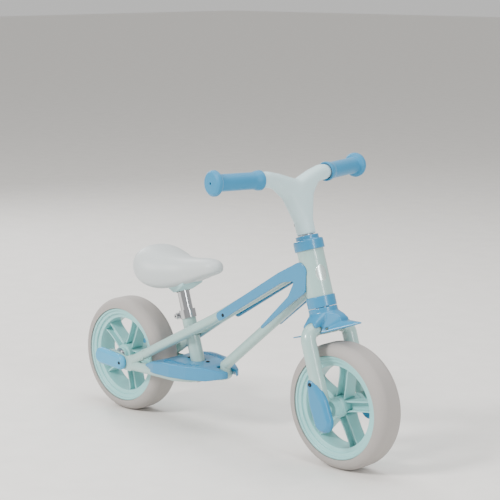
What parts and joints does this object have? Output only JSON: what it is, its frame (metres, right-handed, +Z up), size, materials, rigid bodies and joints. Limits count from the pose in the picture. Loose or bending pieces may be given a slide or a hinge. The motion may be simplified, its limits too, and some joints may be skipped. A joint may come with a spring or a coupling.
{
  "type": "balance bike",
  "caption": "Child's balance bike: low pale-green steel frame, foam-tyred wheels, turning one-piece handlebar, height-adjustable saddle and a blue footboard.",
  "frame": {"origin": "on the floor, midway between the two axles and on the centre plane of the bike (the bottom centre of its bounding box)", "axes": "+X forward along the bike, +Y to the rider's left along the axles, +Z up"},
  "size_m": [0.709, 0.3468, 0.4793],
  "materials": {
    "frame_paint": "smooth gloss paint, pale grey-green",
    "blue_plastic": "moulded plastic, soft gloss, sky blue",
    "light_blue_plastic": "moulded plastic, soft gloss, light blue",
    "bar_plastic": "moulded plastic, matt, very pale blue",
    "grip_rubber": "soft matt rubber, blue",
    "saddle_pad": "soft skin over foam, matt, pale grey",
    "base_plastic": "moulded plastic, matt, grey",
    "wheel_plastic": "moulded plastic, satin, pale aqua",
    "foam_tyre": "smooth closed-cell foam, matt, warm grey",
    "chrome_plate": "polished chrome plate",
    "plain_steel": "zinc-plated steel",
    "dark_steel": "blackened steel",
    "dark_plastic": "black plastic, matt"
  },
  "bodies": {
    "frame": {"head_tube": "frame_paint", "main_tube_right": "frame_paint", "main_tube_left": "frame_paint", "down_tube": "frame_paint", "seat_tube": "frame_paint", "lower_rail": "frame_paint", "dropout_right": "frame_paint", "dropout_left": "frame_paint", "base_plate": "frame_paint", "stay_bridge": "frame_paint", "stay_bridge_screws": "dark_steel", "seat_tube_plug": "dark_plastic", "headset_cap": "blue_plastic", "headset_ring": "blue_plastic", "upper_bush": "dark_plastic", "lower_bush": "dark_plastic", "side_cover_right": "blue_plastic", "side_cover_left": "blue_plastic", "side_cover_screws": "dark_steel", "footboard": "blue_plastic", "footboard_screws": "dark_steel", "seat_clamp": "chrome_plate", "seat_clamp_bolt": "dark_steel", "rear_axle": "plain_steel", "rear_axle_nuts": "plain_steel", "rear_spacers": "plain_steel", "rear_cover_right": "light_blue_plastic", "rear_cover_left": "light_blue_plastic", "rear_cover_screws": "dark_steel"},
    "steering": {"handlebar": "bar_plastic", "grip_right": "grip_rubber", "grip_left": "grip_rubber", "steerer_tube": "plain_steel", "handlebar_bolt": "dark_steel", "fork_crown": "frame_paint", "fork_leg_right": "frame_paint", "fork_leg_left": "frame_paint", "crown_cover": "blue_plastic", "front_axle": "plain_steel", "front_axle_nuts": "plain_steel", "front_spacers": "wheel_plastic", "fork_cover_right": "blue_plastic", "fork_cover_left": "blue_plastic", "fork_cover_screws": "dark_steel"},
    "front_wheel": {"front_rim": "wheel_plastic", "front_tyre": "foam_tyre", "front_bearing_right": "plain_steel", "front_bearing_left": "plain_steel"},
    "rear_wheel": {"rear_rim": "wheel_plastic", "rear_tyre": "foam_tyre", "rear_bearing_right": "plain_steel", "rear_bearing_left": "plain_steel"},
    "seat": {"seat_post": "chrome_plate", "saddle_base": "base_plastic", "saddle": "saddle_pad", "saddle_screws": "dark_steel"}
  },
  "joints": [
    {"name": "steering_turn", "type": "hinge", "parent": "frame", "child": "steering", "pos_m": [0.253, 0, 0.1015], "axis": [-0.3007, 0, 0.9537], "range_deg": [-40, 40]},
    {"name": "front_wheel_spin", "type": "hinge", "parent": "steering", "child": "front_wheel", "pos_m": [0.253, 0, 0.1015], "axis": [0, 1, 0], "continuous": true},
    {"name": "rear_wheel_spin", "type": "hinge", "parent": "frame", "child": "rear_wheel", "pos_m": [-0.253, 0, 0.1015], "axis": [0, 1, 0], "continuous": true},
    {"name": "seat_height", "type": "slide", "parent": "frame", "child": "seat", "axis": [-0.2924, 0, 0.9563], "range_m": [-0.024, 0.035]}
  ]
}
